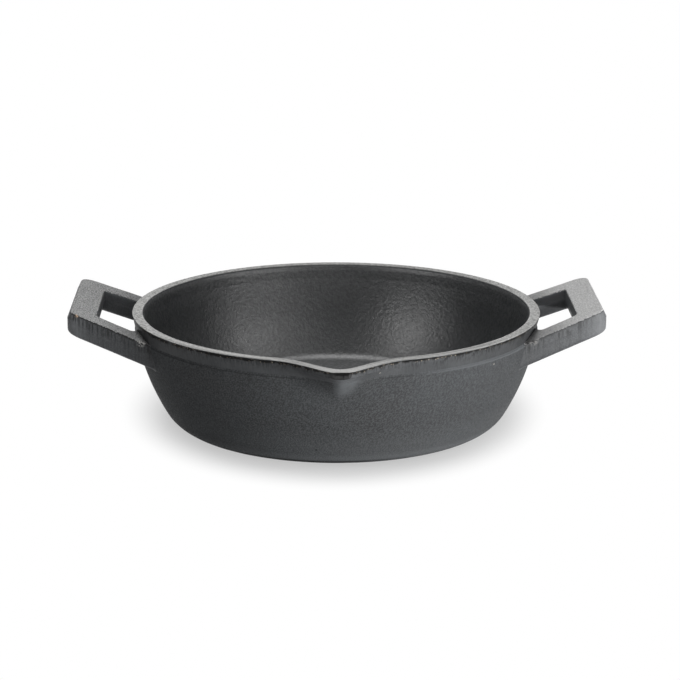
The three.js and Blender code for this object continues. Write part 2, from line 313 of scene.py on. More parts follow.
# Iron left as it was cast: black seasoning, paler on the tops of the grains
seasoned_iron, given, result = new_group(
    "seasoned_iron",
    [
        ("Grains per metre", "NodeSocketFloat", 900.0),
        ("Lumps", "NodeSocketFloat", 0.5),
        ("Slant", "NodeSocketFloat", 0.0),
        ("Thin film", "NodeSocketColor", (0.05, 0.05, 0.05, 1)),
        ("Thick film", "NodeSocketColor", (0.03, 0.03, 0.03, 1)),
        ("Bare grains", "NodeSocketColor", (0.08, 0.08, 0.08, 1)),
        ("Dull", "NodeSocketFloat", 0.5),
        ("Glossy", "NodeSocketFloat", 0.4),
    ],
    [
        ("Colour", "NodeSocketColor"),
        ("Roughness", "NodeSocketFloat"),
        ("Height", "NodeSocketFloat"),
        ("Grains", "NodeSocketFloat"),
    ],
)
grain = use_group(
    seasoned_iron,
    sand_grain,
    Grains_per_metre=given.outputs["Grains per metre"],
    Lumps=given.outputs["Lumps"],
    Slant=given.outputs["Slant"],
)
film = use_group(seasoned_iron, season_film, Patch_size=30.0)
thin, thick = given.outputs["Thin film"], given.outputs["Thick film"]
iron = blend_colours(seasoned_iron, film["Thickness"], thin, thick)
worn = times(seasoned_iron, grain["Speckle"], 0.5)
iron = blend_colours(seasoned_iron, worn, iron, given.outputs["Bare grains"])
iron = blend_colours(seasoned_iron, grain["Pinholes"], iron, (0.005, 0.005, 0.005, 1))
polish = blend_values(seasoned_iron, film["Thickness"], given.outputs["Dull"], given.outputs["Glossy"])
seasoned_iron.links.new(iron, result.inputs["Colour"])
seasoned_iron.links.new(polish, result.inputs["Roughness"])
seasoned_iron.links.new(grain["Height"], result.inputs["Height"])
seasoned_iron.links.new(grain["Speckle"], result.inputs["Grains"])


# Seasoned iron as a material: how shiny and oily it is, and how deep its grain
def seasoned_skin(name, index, shine, oil, depth, **look):
    skin = bpy.data.materials.new(name)
    skin.use_nodes = True
    tree = skin.node_tree
    shader = tree.nodes["Principled BSDF"]
    shader.inputs["IOR"].default_value = index
    shader.inputs["Specular IOR Level"].default_value = shine
    shader.inputs["Coat Roughness"].default_value = 0.42
    iron = use_group(tree, seasoned_iron, **look)
    if oil:
        tree.links.new(times(tree, iron["Grains"], oil), shader.inputs["Coat Weight"])
    tree.links.new(iron["Colour"], shader.inputs["Base Color"])
    tree.links.new(iron["Roughness"], shader.inputs["Roughness"])
    relief = add(tree, "ShaderNodeBump", Strength=1.0, Distance=depth, Height=iron["Height"])
    tree.links.new(relief.outputs[0], shader.inputs["Normal"])
    return skin


# Dry and dull outside, almost black inside with oil on the grains
outside_skin = seasoned_skin(
    "outside_skin",
    index=1.5,
    shine=0.01,
    oil=0.0,
    depth=grain_depth * 1.4,
    Grains_per_metre=1600.0,
    Lumps=0.45,
    Slant=0.4,
    Thin_film=(0.0416, 0.0438, 0.0459, 1),
    Thick_film=(0.0382, 0.0390, 0.0400, 1),
    Bare_grains=(0.0868, 0.0906, 0.0940, 1),
    Dull=0.55,
    Glossy=0.47,
)
cooking_skin = seasoned_skin(
    "cooking_skin",
    index=2.2,
    shine=0.5,
    oil=0.55,
    depth=grain_depth * 1.15,
    Grains_per_metre=640.0,
    Lumps=0.3,
    Thin_film=(0.0034, 0.0058, 0.0076, 1),
    Thick_film=(0.0025, 0.0042, 0.0056, 1),
    Bare_grains=(0.0150, 0.0180, 0.0200, 1),
    Dull=0.47,
    Glossy=0.41,
)


# Single dots: pinholes of the casting and specks of bare metal
def dot(tree, iron, place, reach, colour, kept=1.0):
    apart = vectors(tree, "DISTANCE", place_on_pan(tree), place)
    share = times(tree, ramp(tree, apart, reach, reach * 0.4), kept)
    return blend_colours(tree, share, iron, colour)


pore_and_groove_black = (0.008, 0.008, 0.008, 1)
painted_bounce_iron = (0.12, 0.1255, 0.13, 1)
foot_shade_black = (0.018, 0.019, 0.02, 1)
tree = outside_skin.node_tree
shader = tree.nodes["Principled BSDF"]
iron = shader.inputs["Base Color"].links[0].from_socket
for place, reach in (
    ((-0.0107, -0.0850, 0.0104), 0.0008),
    ((-0.0053, -0.0918, 0.0236), 0.0004),
    ((-0.0685, -0.0584, 0.0190), 0.0005),
):
    iron = dot(tree, iron, place, reach, pore_and_groove_black)

# Painted light: the lower wall and the foot's corner are paler, for light thrown up off the floor.
# Painted shade: a black edge on the foot towards the left, where it meets the floor.
x, y, z = split(tree, place_on_pan(tree))
off_ground = ramp(tree, z, 0.0, 0.0004)
painted_bounce_low_wall = ramp(tree, z, 0.024, 0.007, 0.0, 0.2)
painted_bounce_corner = times(tree, off_ground, ramp(tree, z, 0.0085, 0.0045, 0.0, 0.55))
painted_foot_shade = times(tree, off_ground, ramp(tree, z, 0.0041, 0.0026, 0.0, 0.85), ramp(tree, x, 0.045, 0.0))
iron = blend_colours(tree, painted_bounce_low_wall, iron, painted_bounce_iron)
iron = blend_colours(tree, painted_bounce_corner, iron, painted_bounce_iron)
iron = blend_colours(tree, painted_foot_shade, iron, foot_shade_black)
tree.links.new(iron, shader.inputs["Base Color"])
for skin in (outside_skin, cooking_skin):
    pan_base.data.materials.append(skin)
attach(pan_base, "root")
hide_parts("pan_base")

# Side wall
# The flared wall of the same casting, with the keel of the spout pushed out of it at the front.
# Its outside ends in a small ledge, where the band above it was ground back by hand.
spout_reach = 0.016
spout_ground_off = 0.0014
spout_lip = 0.0059
spout_tip_width = 0.0108
spout_tip_height = 0.003
spout_depth = 0.019
rim_width = 0.0056
tip_share = spout_tip_width / 2 / (spout_half_turn * rim_radius)


# How far the spout stands out of the round, at a turn and a height
def spout_bulge(turns, height, reach, top, depth, crease):
    turns = (np.asarray(turns) + pi) % tau - pi
    fall = np.clip((top - height) / depth, 0, 1)
    side = np.minimum(1, np.abs(turns) / (spout_half_turn * (1 - 0.5 * fall)))
    round_share = tip_share * (1 - crease * np.clip(fall * 4, 0, 1))
    blunt = (np.hypot(side, round_share) - round_share) / (np.hypot(1, round_share) - round_share)
    return reach * (1 - blunt) ** 2 * (1 - fall) ** 1.5


# Radius of the outside with the spout, cut off by its ground face
def outside(turns, radius, height):
    top = rim_height - spout_tip_height
    depth = spout_depth - spout_tip_height
    bulge = spout_bulge(turns, height, spout_reach + spout_ground_off, top, depth, 0.65)
    ground_face = (rim_radius + spout_reach) / np.cos(np.where(bulge > 0, turns, 0))
    return np.where(bulge > 0, np.minimum(radius + bulge, ground_face), radius)


# Radius of the inside with the hollow of the spout
def inside(turns, radius, height):
    reach = spout_reach + rim_width - spout_lip
    return radius + spout_bulge(turns, height, reach, rim_height, spout_depth - wall_thickness, 0.0)


# Foot of the band, ground back more at the right and less by the spout
def band_foot_radius(turns):
    turns = (np.asarray(turns) + pi) % tau - pi
    out_of_spout = np.clip((np.abs(turns) - radians(8)) / radians(40), 0, 1)
    step = ledge_step * (0.35 + 0.65 * out_of_spout) * (1.2 + 0.6 * np.sin(turns))
    return wall_top[0] - step


wall_rings = []
for height in np.linspace(seam_height, wall_top[1], 36):
    wall_rings.append(cast_ring(all_turns, outside(all_turns, wall_radius(height), height), height, 0.0))
for share in (0.2, 0.45, 0.7, 1.0):
    height = wall_top[1] + ledge_height * share
    eased = share * share * (3 - 2 * share)
    radius = wall_top[0] + (band_foot_radius(all_turns) - wall_top[0]) * eased
    wall_rings.append(cast_ring(all_turns, outside(all_turns, radius, height), height, 0.0))
rings_outside = len(wall_rings)
for height in np.linspace(band_foot, seam_height, 34):
    radius = inside(all_turns, wall_radius(height, wall_thickness), height)
    wall_rings.append(cast_ring(all_turns, radius, height, 0.0))
side_wall = cast_skin("side_wall_casting", wall_rings, is_closed=True)
ring_steps = np.repeat(np.arange(len(wall_rings)), len(all_turns))
line_inside(side_wall, ring_steps >= rings_outside)

# Patch under the spout's point, where a runner of the mould was ground off
# Over the right flank its pale colour reaches further: a painted highlight where the light falls.
ground_and_lit_patch_iron = (0.098, 0.1029, 0.1078, 1)
patch_middle = (0.0002, 0.0472)
ground_patch, given, result = new_group(
    "ground_patch",
    [("Half width", "NodeSocketFloat", 0.0036), ("Half height", "NodeSocketFloat", 0.0085)],
    [("Mask", "NodeSocketFloat")],
)
spot = place_on_pan(ground_patch)
x, y, z = split(ground_patch, spot)
uneven = clouds(ground_patch, spot, 420.0, 2.0)
sideways = sums(ground_patch, "SUBTRACT", x, patch_middle[0])
sideways = sums(ground_patch, "DIVIDE", sideways, given.outputs["Half width"])
upwards = sums(ground_patch, "SUBTRACT", z, patch_middle[1])
upwards = sums(ground_patch, "DIVIDE", upwards, given.outputs["Half height"])
to_left = times(ground_patch, sideways, -1.0)
to_right = times(ground_patch, sideways, ramp(ground_patch, upwards, -1.0, 0.8, 0.55, 0.28))
sideways = sums(ground_patch, "MAXIMUM", to_left, to_right)
from_middle = sums(ground_patch, "POWER", sideways, 2.0)
from_middle = sums(ground_patch, "ADD", from_middle, sums(ground_patch, "POWER", upwards, 2.0))
from_middle = sums(ground_patch, "ADD", from_middle, times(ground_patch, uneven, 0.9))
on_front = ramp(ground_patch, y, 0.0, -0.02)
on_patch = times(ground_patch, ramp(ground_patch, from_middle, 1.9, 0.2), on_front)
ground_patch.links.new(on_patch, result.inputs["Mask"])

# The wall's skin: smooth on that patch, painted highlight on the ledge at the right, painted shade in the
# crease
bare_speck = (0.26, 0.25, 0.225, 1)
wall_skin = outside_skin.copy()
wall_skin.name = "wall_skin"
tree = wall_skin.node_tree
shader = tree.nodes["Principled BSDF"]
iron = shader.inputs["Base Color"].links[0].from_socket
relief = shader.inputs["Normal"].links[0].from_node
on_patch = use_group(tree, ground_patch)["Mask"]
x, y, z = split(tree, place_on_pan(tree))
iron = blend_colours(tree, on_patch, iron, ground_and_lit_patch_iron)
ledge_middle = wall_top[1] + ledge_height * 0.5
from_ledge = sums(tree, "ABSOLUTE", sums(tree, "SUBTRACT", z, ledge_middle))
# Painted highlight along the ledge, growing towards the right where the light falls
on_ledge = times(tree, ramp(tree, from_ledge, 0.0011, 0.0005), ramp(tree, x, 0.025, 0.06), 0.7)
under_ledge = sums(tree, "ABSOLUTE", sums(tree, "SUBTRACT", z, wall_top[1] - 0.0001))
to_the_left = ramp(tree, x, 0.06, 0.02, 0.0, 0.45)
off_keel = ramp(tree, sums(tree, "ABSOLUTE", x), 0.012, 0.02)
painted_crease_shade = times(tree, ramp(tree, under_ledge, 0.0005, 0.0001), to_the_left, off_keel)
iron = blend_colours(tree, painted_crease_shade, iron, (0.02, 0.021, 0.022, 1))
iron = blend_colours(tree, on_ledge, iron, (0.094, 0.0985, 0.1035, 1))
iron = dot(tree, iron, (0.0724, -0.0667, 0.0463), 0.0005, bare_speck)
tree.links.new(iron, shader.inputs["Base Color"])
raised = relief.inputs["Height"].links[0].from_socket
flattened = times(tree, raised, ramp(tree, on_patch, 0.0, 1.0, 1.0, 0.25))
tree.links.new(flattened, relief.inputs["Height"])
for skin in (wall_skin, cooking_skin):
    side_wall.data.materials.append(skin)
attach(side_wall, "root")
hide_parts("side_wall")

# Rim band
# The collar that stiffens the rim: its outside is ground by hand, its top is ground flat.
# Both were seasoned again afterwards, so the marks of the wheel show through a thin film.
flat_face = -(rim_radius + spout_reach)
flat_half_width = 0.0050
flat_depth = 0.0037
rim_edge = 0.00028
inner_edge = 0.0009
tear_depth = 0.0004


# Radius of the band's outside, which leans out to the rim
def band_outside(turns, height):
    foot = band_foot_radius(turns)
    share = np.clip((height - band_foot) / band_height, 0, 1)
    return outside(turns, foot + (rim_radius - foot) * share, height)


# Points across the lip: radius, height and place (-1 in the tear, 0 outside, 1 on top, 2 inside)
def lip_sections(turns):
    sections = []
    for turn in turns:
        here = np.array([(turn + pi) % tau - pi])
        along = here[0] * rim_radius
        flats = abs(noise.noise(Vector((along * 190, 0.3, 0))))
        flats += 0.3 * noise.noise(Vector((along * 900, 0.7, 0)))
        ragged = rim_edge * (1 + 0.5 * noise.noise(Vector((along * 620, 3.1, 0))))
        in_front = np.clip((radians(82) - abs(here[0])) / radians(20), 0.2, 1)
        tear = in_front * np.clip(0.7 + 0.9 * noise.noise(Vector((along * 480, 7.7, 0))), 0, 1)
        tall = (0.00115 - 0.0004 * sin(here[0])) * (1 + 0.45 * noise.noise(Vector((along * 700, 5.2, 0))))
        soft_edge = inner_edge * (1.5 - 0.5 * cos(here[0]))
        points = []
        for share in (0, 0.12, 0.25, 0.38, 0.48, 1 - spout_tip_height / band_height, 0.62, 0.67):
            height = band_foot + band_height * share
            radius = band_outside(here, height)[0] - 0.00007 * flats * min(1, share * 6)
            points.append((radius, height, 0.0))
        for drop, share in ((tall, 0.5), (tall - 0.0002, 1.0), (0.00045, 1.0)):
            radius = band_outside(here, rim_height - drop)[0] - tear_depth * tear * share
            points.append((radius, rim_height - drop, -tear * share))
        shoulder = band_outside(here, rim_height - ragged)[0]
        for angle in np.linspace(0, pi / 2, 5):
            radius = shoulder - ragged * (1 - cos(angle))
            points.append((radius, rim_height - ragged * (1 - sin(angle)), angle / (pi / 2)))
        lip_inside = inside(here, rim_radius - rim_width, rim_height)[0]
        outer_end = points[-1][0]
        for share in np.linspace(0, 1, 10)[1:]:
            points.append((outer_end + (lip_inside + soft_edge - outer_end) * share, rim_height, 1.0))
        for angle in np.linspace(0, pi / 2, 6)[1:]:
            radius = lip_inside + soft_edge * (1 - sin(angle))
            points.append((radius, rim_height - soft_edge * (1 - cos(angle)), 1 + angle / (pi / 2)))
        inner_foot = wall_radius(band_foot, wall_thickness)
        for height in np.linspace(rim_height - soft_edge, band_foot, 9)[1:]:
            share = (rim_height - height) / band_height
            radius = rim_radius - rim_width + (inner_foot - rim_radius + rim_width) * share
            points.append((inside(here, radius, height)[0], height, 2.0))
        sections.append(points)
    return np.array(sections)


# The lip over a range of turns, with the place across it kept for its material
def lip_skin(name, turns):
    sections = lip_sections(turns)
    first_on_top = int(np.argmax(sections[0, :, 2] >= 1))
    angles = np.repeat(turns[:, None], sections.shape[1], axis=1)
    swell = sand_swell(round_the_axis(angles, sections[..., 0], sections[..., 1]))
    piece = cast_skin(name, round_the_axis(angles, sections[..., 0] + swell, sections[..., 1]))
    steps = np.hypot(*np.diff(sections[..., :2], axis=1).transpose(2, 0, 1))
    across = np.concatenate([np.zeros((len(turns), 1)), np.cumsum(steps, axis=1)], axis=1)
    across -= across[:, first_on_top : first_on_top + 1]
    place = np.stack([angles * rim_radius, across, sections[..., 2]], axis=-1)
    lip_place = piece.data.attributes.new("lip_place", "FLOAT_VECTOR", "POINT")
    lip_place.data.foreach_set("vector", place.reshape(-1))
    at_back = np.clip(-np.cos(turns[:-1]), 0, 1)[:, None]
    line_inside(piece, sections[:-1, :, 2] > 1.65 - 0.2 * at_back)
    return piece


rim_band = lip_skin("rim_band_casting", round_turns)

# Marks of a grinding wheel: streaks that run up and down the upright faces
wheel_marks, given, result = new_group(
    "wheel_marks",
    [("Marks per metre", "NodeSocketFloat", 1500.0), ("Stretch", "NodeSocketFloat", 0.05)],
    [("Marks", "NodeSocketFloat"), ("Height", "NodeSocketFloat"), ("Dark", "NodeSocketFloat")],
)
spot = place_on_pan(wheel_marks)
squash = add(wheel_marks, "ShaderNodeCombineXYZ", X=1.0, Y=1.0, Z=given.outputs["Stretch"]).outputs[0]
pulled = vectors(wheel_marks, "MULTIPLY", spot, squash)
marks = clouds(wheel_marks, pulled, given.outputs["Marks per metre"], 3.0, 0.7)
kept = ramp(wheel_marks, clouds(wheel_marks, spot, 260.0, 1.0), 0.25, 0.5)
wheel_marks.links.new(marks, result.inputs["Marks"])
wheel_marks.links.new(times(wheel_marks, marks, kept), result.inputs["Height"])
dark = ramp(wheel_marks, marks, 0.55, 0.41)
wheel_marks.links.new(times(wheel_marks, dark, kept), result.inputs["Dark"])

# The dressed iron of the band and of the spout's lip
dressed_lip = bpy.data.materials.new("dressed_lip")
dressed_lip.use_nodes = True
tree = dressed_lip.node_tree
shader = tree.nodes["Principled BSDF"]
grain = use_group(tree, sand_grain, Grains_per_metre=1250.0, Lumps=0.4)
film = use_group(tree, season_film, Patch_size=60.0)
wheel = use_group(tree, wheel_marks, Marks_per_metre=1300.0, Stretch=0.05)
spot = place_on_pan(tree)
x, y, z = split(tree, spot)
place = add(tree, "ShaderNodeAttribute", {"attribute_name": "lip_place"}).outputs["Vector"]
region = split(tree, place)[2]

# The top's pale iron takes in more of the rounded outer edge at the back: a painted highlight there
painted_back_edge_light = ramp(tree, y, 0.0, 0.06, 1.0, 4.0)
on_top = ramp(tree, times(tree, region, painted_back_edge_light), 0.35, 0.75)

# Outside: streaks of the wheel through a thin film, and the flat on the spout's point
shaded_iron = (0.02, 0.0205, 0.021, 1)
sideways = sums(tree, "DIVIDE", x, flat_half_width)
upwards = sums(tree, "DIVIDE", sums(tree, "SUBTRACT", z, rim_height), flat_depth)
from_flat = sums(tree, "ADD", sums(tree, "POWER", sideways, 4.0), sums(tree, "POWER", upwards, 4.0))
near_point = ramp(tree, y, flat_face + 0.002, flat_face + 0.001)
is_flat = times(tree, ramp(tree, from_flat, 1.12, 0.88), near_point)
band_iron = blend_colours(tree, film["Thickness"], (0.067, 0.0693, 0.0721, 1), (0.052, 0.0541, 0.0565, 1))
comb = ramp(tree, z, band_foot + 0.002, rim_height - 0.0015, 0.15, 0.6)
comb = times(tree, wheel["Dark"], comb)
comb = sums(tree, "MULTIPLY", comb, ramp(tree, x, 0.02, 0.08, 1.0, 1.5), True)
band_iron = blend_colours(tree, comb, band_iron, (0.014, 0.014, 0.014, 1))
flat_iron = blend_colours(tree, wheel["Dark"], (0.03, 0.03, 0.03, 1), (0.01, 0.01, 0.01, 1))
on_patch = use_group(tree, ground_patch)["Mask"]
band_iron = blend_colours(tree, on_patch, band_iron, ground_and_lit_patch_iron)
# Painted shade: the band is darkened by the handles and towards the right
painted_shade_by_handle = ramp(tree, sums(tree, "ABSOLUTE", x), 0.06, 0.092, 0.0, 0.4)
band_iron = blend_colours(tree, painted_shade_by_handle, band_iron, shaded_iron)
band_iron = blend_colours(tree, ramp(tree, x, 0.03, 0.07, 0.0, 0.28), band_iron, shaded_iron)
band_iron = dot(tree, band_iron, (0.0180, -0.1007, 0.0518), 0.0006, bare_speck)
band_iron = blend_colours(tree, is_flat, band_iron, flat_iron)

# Top: lines of the flat grinding along the front, dark grains at the sides, and a black inner edge
lip_lines = clouds(tree, vectors(tree, "MULTIPLY", place, (18.0, 560.0, 0.0)), 1.0, 2.0, 0.6)
in_front = ramp(tree, y, -0.03, -0.08)
line_pattern = ramp(tree, lip_lines, 0.40, 0.58)
grain_pattern = ramp(tree, grain["Speckle"], 0.1, 0.7)
pattern = blend_values(tree, in_front, grain_pattern, line_pattern)
top_iron = blend_colours(tree, pattern, (0.315, 0.315, 0.31, 1), (0.52, 0.52, 0.51, 1))
dark_grains = ramp(tree, grain["Speckle"], 0.3, 0.0, 0.0, 0.4)
top_iron = blend_colours(tree, dark_grains, top_iron, (0.12, 0.12, 0.12, 1))
top_iron = blend_colours(tree, ramp(tree, y, -0.1, -0.112, 0.0, 0.5), top_iron, (0.55, 0.55, 0.54, 1))
# Painted shade over the back of the top and its inner edge
at_back = times(tree, ramp(tree, y, 0.03, 0.085), ramp(tree, region, 1.0, 1.4, 0.2, 0.78))
top_iron = blend_colours(tree, at_back, top_iron, (0.06, 0.058, 0.056, 1))
pale_grains = ramp(tree, grain["Speckle"], 0.0, 0.5)
# Painted highlight along the inner edge of the front half
painted_edge_highlight = times(tree, ramp(tree, region, 1.02, 1.12), ramp(tree, y, 0.05, 0.0), pale_grains)
top_iron = blend_colours(tree, painted_edge_highlight, top_iron, (0.6, 0.6, 0.59, 1))
top_iron = blend_colours(tree, ramp(tree, region, 1.25, 1.5), top_iron, (0.06, 0.062, 0.064, 1))
lip_iron = blend_colours(tree, on_top, band_iron, top_iron)

# Torn line under the top: painted shade, black in the undercut, with chips of bare and of rusty iron in it
shaded_tear_mask = ramp(tree, region, -0.1, -0.45)
chips = add(tree, "ShaderNodeTexVoronoi", Vector=spot, Scale=1500.0)
chip_pick = add(tree, "ShaderNodeSeparateColor", Color=chips.outputs["Color"])
is_chip = times(
    tree,
    ramp(tree, chip_pick.outputs[0], 0.66, 0.7),
    ramp(tree, chips.outputs["Distance"], 0.5, 0.3),
    ramp(tree, is_flat, 0.5, 0.0),
    ramp(tree, region, -0.95, -0.55),
)
chip_iron = blend_colours(tree, chip_pick.outputs[1], (0.12, 0.088, 0.06, 1), (0.28, 0.245, 0.2, 1))
tear_shade_and_chips = blend_colours(tree, is_chip, pore_and_groove_black, chip_iron)
lip_iron = blend_colours(tree, shaded_tear_mask, lip_iron, tear_shade_and_chips)
tree.links.new(lip_iron, shader.inputs["Base Color"])
tree.links.new(ramp(tree, film["Thickness"], 0.0, 1.0, 0.5, 0.42), shader.inputs["Roughness"])
side_relief = sums(tree, "ADD", times(tree, wheel["Height"], 0.45), times(tree, grain["Height"], 0.3))
top_relief = sums(tree, "ADD", times(tree, lip_lines, 0.2), times(tree, grain["Height"], 0.2))
lifted = blend_values(tree, on_top, side_relief, top_relief)
relief = add(tree, "ShaderNodeBump", Strength=1.0, Distance=grain_depth, Height=lifted)
tree.links.new(relief.outputs[0], shader.inputs["Normal"])
shader.inputs["Specular IOR Level"].default_value = 0.06
for skin in (dressed_lip, cooking_skin):
    rim_band.data.materials.append(skin)
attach(rim_band, "root")
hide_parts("rim_band")

# Pouring spout
# The band runs on round a blunt V at the front, so that the lip pours without dripping.
# The point of the casting is ground off flat, and that face stays darker than the rest.
pouring_spout = lip_skin("pouring_spout_casting", spout_turns)
for skin in (dressed_lip, cooking_skin):
    pouring_spout.data.materials.append(skin)
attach(pouring_spout, "root")
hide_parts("pouring_spout")

# Loop handles
# Flat loops cast on at both ends, climbing outwards, with a finger gap between two arms.
# The top is as it left the sand; the fins of the mould were ground off the upright faces.
handle_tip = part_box("right_handle")[1].x
handle_reach = handle_tip - rim_radius
handle_rise = 0.0077
handle_drop = 0.003
tip_width = 0.0718
root_width = 0.0814
bar_thickness = 0.0116
grip_width = 0.0116
arm_width = 0.0122
parting_depth = 0.0044
end_lean = 0.0018
gap_draft = 0.0016
top_edge = 0.0006
crisp_gap_edge = 0.0005
round_gap_edge = 0.0018
bottom_edge = 0.002
front_corner = 0.0048
back_corner = 0.0075
gap_corner = 0.003
gap_fillet = 0.012
side_fillet = 0.0011
top_fillet = 0.0007
bottom_fillet = 0.0016
root_set_in = 0.0003
root_shrink = 0.985
nick_place = Vector((0.0932, -0.0415, 0.0508))
nick_reach = 0.0032
fin_half_height = 0.0001
outer_fin = 0.00005
gap_fin = 0.00015
side_slope = (root_width - tip_width) / 2 / handle_reach
top_slope = (handle_drop + handle_rise) / (handle_tip - end_lean - rim_radius)
to_root = np.array([-1, side_slope]) / sqrt(1 + side_slope**2)
to_middle = np.array([0.0, -1.0])


# Points round the bar: share of the way from its inside to its outside, depth and set-in
def bar_points(gap_edge):
    fin_top = parting_depth - fin_half_height
    fin_foot = parting_depth + fin_half_height
    points = [(share, 0.0, gap_edge + (top_edge - gap_edge) * share) for share in np.linspace(0, 1, 12)]
    for angle in np.linspace(0, pi / 2, 5)[1:]:
        points.append((1.0, top_edge * (1 - cos(angle)), top_edge * (1 - sin(angle))))
    for depth in (0.0012, 0.002, 0.003, 0.004):
        points.append((1.0, depth, 0.0))
    points += [(1.0, fin_top, -outer_fin), (1.0, fin_foot, -outer_fin)]
    for depth in (0.0049, 0.006, 0.0072, 0.0084):
        points.append((1.0, depth, 0.0))
    for angle in np.linspace(0, pi / 2, 7):
        points.append((1.0, bar_thickness - bottom_edge * (1 - sin(angle)), bottom_edge * (1 - cos(angle))))
    for share in np.linspace(1, 0, 9)[1:]:
        points.append((share, bar_thickness, bottom_edge))
    for angle in np.linspace(pi / 2, 0, 7)[1:]:
        points.append((0.0, bar_thickness - bottom_edge * (1 - sin(angle)), bottom_edge * (1 - cos(angle))))
    for depth in (0.0084, 0.0072, 0.006, 0.0049):
        points.append((0.0, depth, 0.0))
    points += [(0.0, fin_foot, -gap_fin), (0.0, fin_top, -gap_fin)]
    for depth in (0.0039, 0.0032, 0.0025):
        points.append((0.0, depth, 0.0))
    for angle in np.linspace(pi / 2, 0, 8)[:-1]:
        points.append((0.0, gap_edge * (1 - cos(angle)), gap_edge * (1 - sin(angle))))
    return np.array(points).T


# Half the handle's width, which narrows to the tip
def half_width(x):
    return tip_width / 2 + side_slope * (handle_tip - x)


# Height of the handle's top, which climbs to the tip
def bar_top(x):
    return rim_height - handle_drop + top_slope * (x - rim_radius)


# Radius of the pan's outside at the height of each point
def pan_outside(points):
    height = np.minimum(points[:, 2], rim_height - rim_edge)
    turns = np.arctan2(points[:, 0], -points[:, 1])
    foot = band_foot_radius(turns)
    on_ledge = wall_top[0] + (foot - wall_top[0]) * np.clip((height - wall_top[1]) / ledge_height, 0, 1)
    on_wall = wall_radius(np.minimum(height, wall_top[1]))
    below_band = np.where(height > wall_top[1], on_ledge, on_wall)
    return np.where(height > band_foot, band_outside(turns, height), below_band)


# Rounding between an arm and the grip, in plan
def corner_curve(corner, setback):
    first = corner + setback * to_root
    second = corner + setback * to_middle
    shares = np.linspace(0, 1, 11)[:, None, None]
    return (1 - shares) ** 2 * first + 2 * shares * (1 - shares) * corner + shares**2 * second


# Rings from the root of one arm to the middle of the grip
def half_handle(corner_setback, gap_edge):
    bar_share, bar_depth, bar_inset = bar_points(gap_edge)
    bar_lean = end_lean * np.maximum(0, 1 - bar_depth / parting_depth)
    bar_gap = gap_draft * np.maximum(0, (bar_depth - parting_depth) / (bar_thickness - parting_depth))
    tip = handle_tip - bar_lean - bar_inset
    grip_inside = handle_tip - end_lean - grip_width + bar_gap + bar_inset
    outer = np.stack([tip, half_width(tip) - bar_inset], axis=-1)
    inner = np.stack([grip_inside, half_width(grip_inside) - arm_width + bar_gap + bar_inset], axis=-1)
    outer_curve = corner_curve(outer, corner_setback)
    inner_curve = corner_curve(inner, gap_corner)
    curve = inner_curve + (outer_curve - inner_curve) * bar_share[:, None]
    middle = curve[-1].copy()
    middle[:, 1] = 0.0
    grip = [curve[-1] + (middle - curve[-1]) * share for share in np.linspace(0, 1, 20)[1:]]

    # The bar runs on towards the root until it meets the outside of the pan
    start = curve[0]

    def on_arm(x):
        plan_y = start[:, 1] + side_slope * (start[:, 0] - x)
        return np.stack([x, plan_y, bar_top(x) - bar_depth], axis=-1)

    near, far = np.full(len(start), 0.06), start[:, 0].copy()
    for _ in range(40):
        half_way = (near + far) / 2
        points = on_arm(half_way)
        is_inside = np.hypot(points[:, 0], points[:, 1]) < pan_outside(points)
        near = np.where(is_inside, half_way, near)
        far = np.where(is_inside, far, half_way)
    meet = on_arm(far)

    # Root fillets: wide in the finger gap, tight on top, underneath and on the outer face
    in_gap = np.clip(1 - bar_share / 0.6, 0, 1) ** 2
    along_wall = gap_fillet * in_gap - side_fillet * np.clip((bar_share - 0.8) / 0.2, 0, 1)
    up_wall = top_fillet * np.clip(1 - bar_depth / top_edge, 0, 1)
    up_wall -= bottom_fillet * np.clip((bar_depth - bar_thickness) / bottom_edge + 1, 0, 1)
    along_arm = np.hypot(along_wall, up_wall) * (1 - 0.55 * in_gap)
    root = on_arm(far + along_arm)
    round_wall = np.stack([meet[:, 1], -meet[:, 0]], axis=-1) / np.hypot(meet[:, 0], meet[:, 1])[:, None]
    spread = meet.copy()
    spread[:, :2] += round_wall * along_wall[:, None]
    spread[:, 2] = np.minimum(spread[:, 2] + up_wall, rim_height - rim_edge)
    spread[:, :2] *= ((pan_outside(spread) - root_set_in) / np.hypot(spread[:, 0], spread[:, 1]))[:, None]
    corner = meet + ((root + spread) / 2 - meet) * 0.5 * in_gap[:, None]
    sunk = spread.copy()
    sunk[:, :2] *= root_shrink
    rings = [sunk]
    for share in np.linspace(1, 0, 8):
        rings.append((1 - share) ** 2 * root + 2 * share * (1 - share) * corner + share**2 * spread)
    for share in np.linspace(0, 1, 56)[1:-1]:
        rings.append(on_arm(far + along_arm + (start[:, 0] - far - along_arm) * share))
    for plan in [*curve, *grip]:
        rings.append(np.stack([plan[:, 0], plan[:, 1], bar_top(plan[:, 0]) - bar_depth], axis=-1))
    return np.array(rings)


